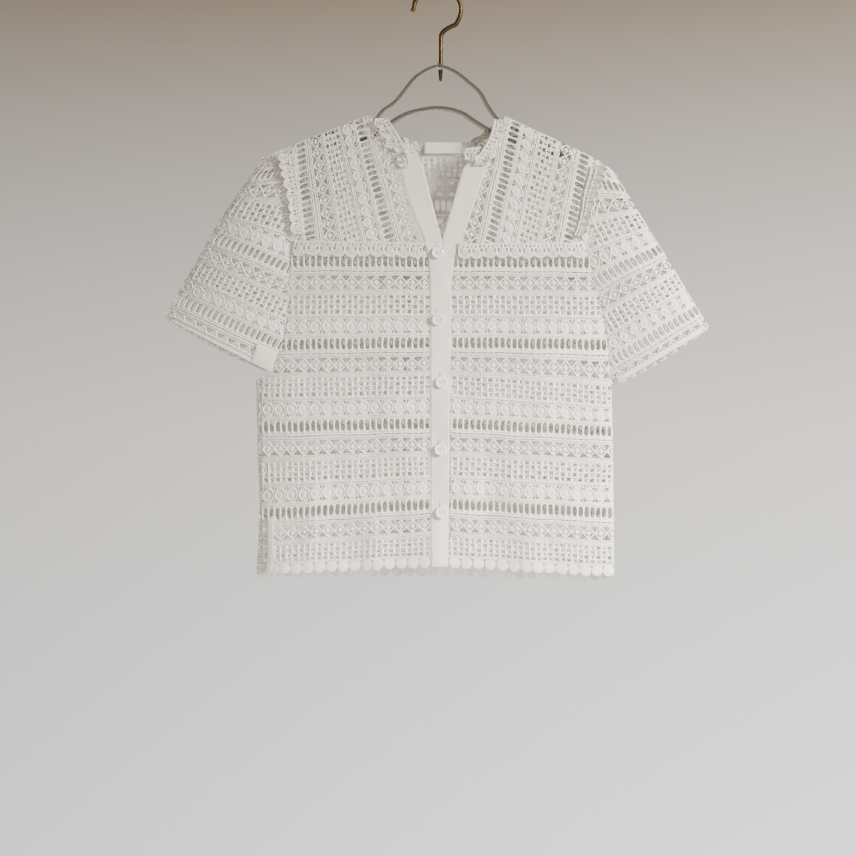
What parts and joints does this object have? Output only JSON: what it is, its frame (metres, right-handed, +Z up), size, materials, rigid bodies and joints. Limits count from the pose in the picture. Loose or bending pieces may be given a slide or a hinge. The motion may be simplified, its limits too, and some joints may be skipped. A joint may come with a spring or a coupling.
{
  "type": "cropped lace jacket on a hanger",
  "caption": "Short-sleeved cropped jacket of off-white guipure lace with a V neck, woven placket, pearl buttons and scalloped hem, on a clear hanger with a brass hook.",
  "frame": {"origin": "the top of the hook's inside, in the middle of its wire, where the hook rests on a rail", "axes": "+Z up along the garment's length, +Y towards its back, +X to the right as its front is seen (the wearer's left)"},
  "size_m": [0.656, 0.0419, 0.7152],
  "materials": {
    "lace": "off-white cotton guipure lace, matte, open net, cords, ladders, diamonds and discs",
    "woven_cotton": "white plain-woven cotton, pressed, matte with a faint sheen",
    "satin_ribbon": "bare white satin ribbon",
    "pearl_button": "pearly white polyester resin, polished",
    "clear_acrylic": "clear cast acrylic, polished",
    "brass_wire": "drawn brass wire, polished, slightly dulled"
  },
  "bodies": {
    "root": {"front_right": "lace", "front_left": "lace", "yoke_right": "lace", "yoke_left": "lace", "back": "lace", "sleeve_right_front": "lace", "sleeve_right_back": "lace", "sleeve_left_front": "lace", "sleeve_left_back": "lace", "hem_right": "lace", "hem_left": "lace", "hem_back": "lace", "yoke_trim_right": "lace", "yoke_trim_left": "lace", "shoulder_frill_right": "lace", "shoulder_frill_left": "lace", "neck_frill_right": "lace", "neck_frill_left": "lace", "neck_frill_back": "lace", "placket": "woven_cotton", "button_stand": "woven_cotton", "band_right": "woven_cotton", "band_left": "woven_cotton", "cuff_right_front": "woven_cotton", "cuff_right_back": "woven_cotton", "cuff_left_front": "woven_cotton", "cuff_left_back": "woven_cotton", "label": "satin_ribbon", "button_1": "pearl_button", "button_2": "pearl_button", "button_3": "pearl_button", "button_4": "pearl_button", "button_5": "pearl_button", "hanger_rod": "clear_acrylic", "hanger_bar": "clear_acrylic", "hook": "brass_wire", "hook_screw": "brass_wire"}
  },
  "joints": []
}
